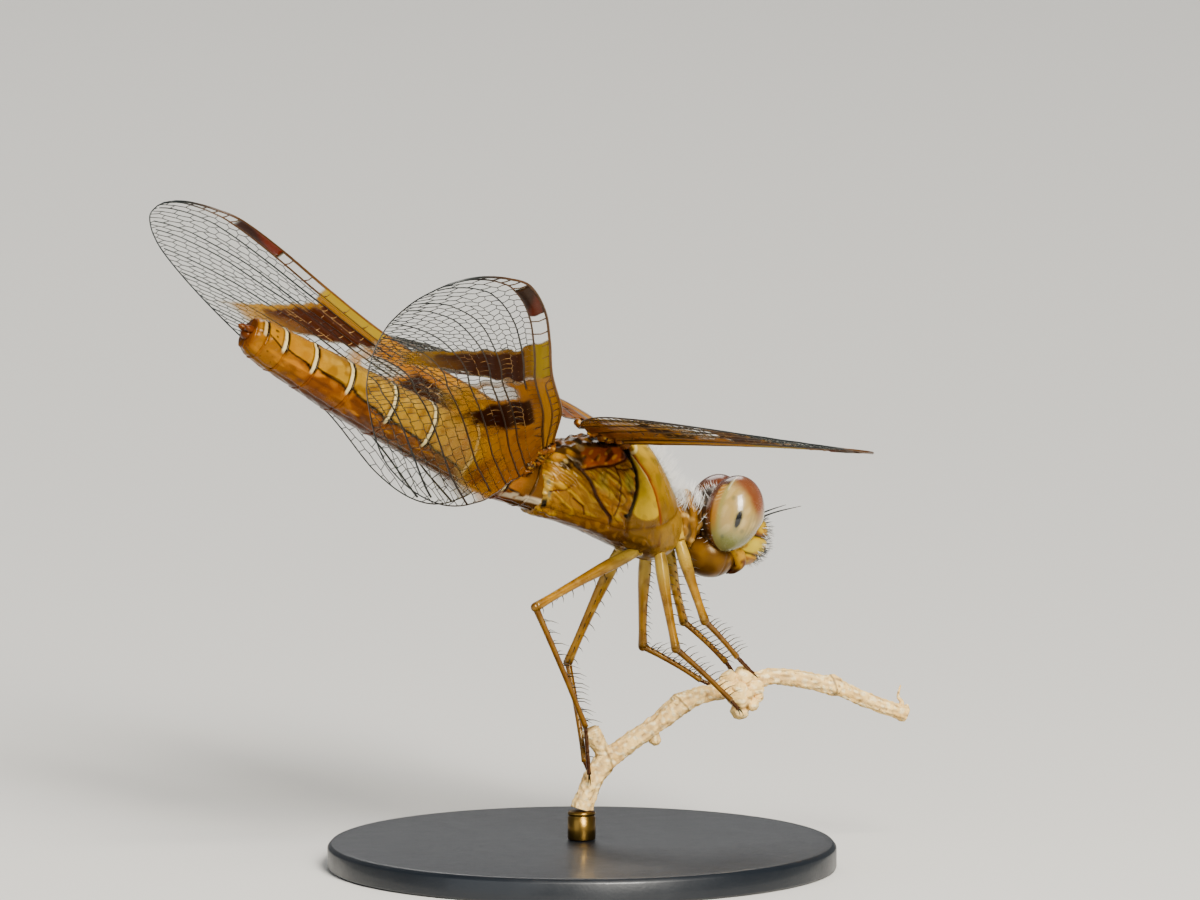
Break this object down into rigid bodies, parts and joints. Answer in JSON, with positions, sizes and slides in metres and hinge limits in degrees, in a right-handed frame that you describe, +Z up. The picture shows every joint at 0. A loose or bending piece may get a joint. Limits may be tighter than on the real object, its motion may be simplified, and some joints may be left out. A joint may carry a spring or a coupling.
{
  "type": "amberwing dragonfly",
  "caption": "Life-size still model of a female amberwing dragonfly gripping a cut twig, body tilted head down, wings spread, on a plain round display stand.",
  "frame": {"origin": "middle of the display stand's flat underside, on the surface it stands on", "axes": "+X the way the head points, +Y the insect's left side, +Z up"},
  "size_m": [0.0295, 0.0392, 0.0259],
  "materials": {
    "eye": "smooth clear lens over cream to olive, red-brown above",
    "head": "satin brown cuticle with short dark hairs",
    "face": "smooth yellow cuticle with dark bristles",
    "labium": "smooth orange-brown cuticle",
    "antenna": "satin black",
    "thorax": "amber-yellow cuticle with olive-brown sutures and pale down in front",
    "collar": "brown cuticle",
    "abdomen": "orange-amber cuticle, tan above, cream rings and dark side lines",
    "cercus": "dark brown cuticle",
    "wing": "clear membrane, amber at the base, with brown bands and dark veins",
    "leg": "orange-brown cuticle with thin dark spines",
    "twig": "pale dry bark",
    "stand_plate": "satin black",
    "stand_post": "satin"
  },
  "bodies": {
    "root": {"abdomen_1": "abdomen", "abdomen_10": "abdomen", "abdomen_2": "abdomen", "abdomen_3": "abdomen", "abdomen_4": "abdomen", "abdomen_5": "abdomen", "abdomen_6": "abdomen", "abdomen_7": "abdomen", "abdomen_8": "abdomen", "abdomen_9": "abdomen", "antenna_left": "antenna", "antenna_right": "antenna", "cercus_left": "cercus", "cercus_right": "cercus", "eye_left": "eye", "eye_right": "eye", "face": "face", "forewing_left": "wing", "forewing_right": "wing", "front_left_femur": "leg", "front_left_tarsus": "leg", "front_left_tibia": "leg", "front_right_femur": "leg", "front_right_tarsus": "leg", "front_right_tibia": "leg", "head": "head", "hind_left_femur": "leg", "hind_left_tarsus": "leg", "hind_left_tibia": "leg", "hind_right_femur": "leg", "hind_right_tarsus": "leg", "hind_right_tibia": "leg", "hindwing_left": "wing", "hindwing_right": "wing", "labium": "labium", "middle_left_femur": "leg", "middle_left_tarsus": "leg", "middle_left_tibia": "leg", "middle_right_femur": "leg", "middle_right_tarsus": "leg", "middle_right_tibia": "leg", "prothorax": "collar", "stand_base": "stand_plate", "stand_rod": "stand_post", "thorax": "thorax", "twig": "twig"}
  },
  "joints": []
}
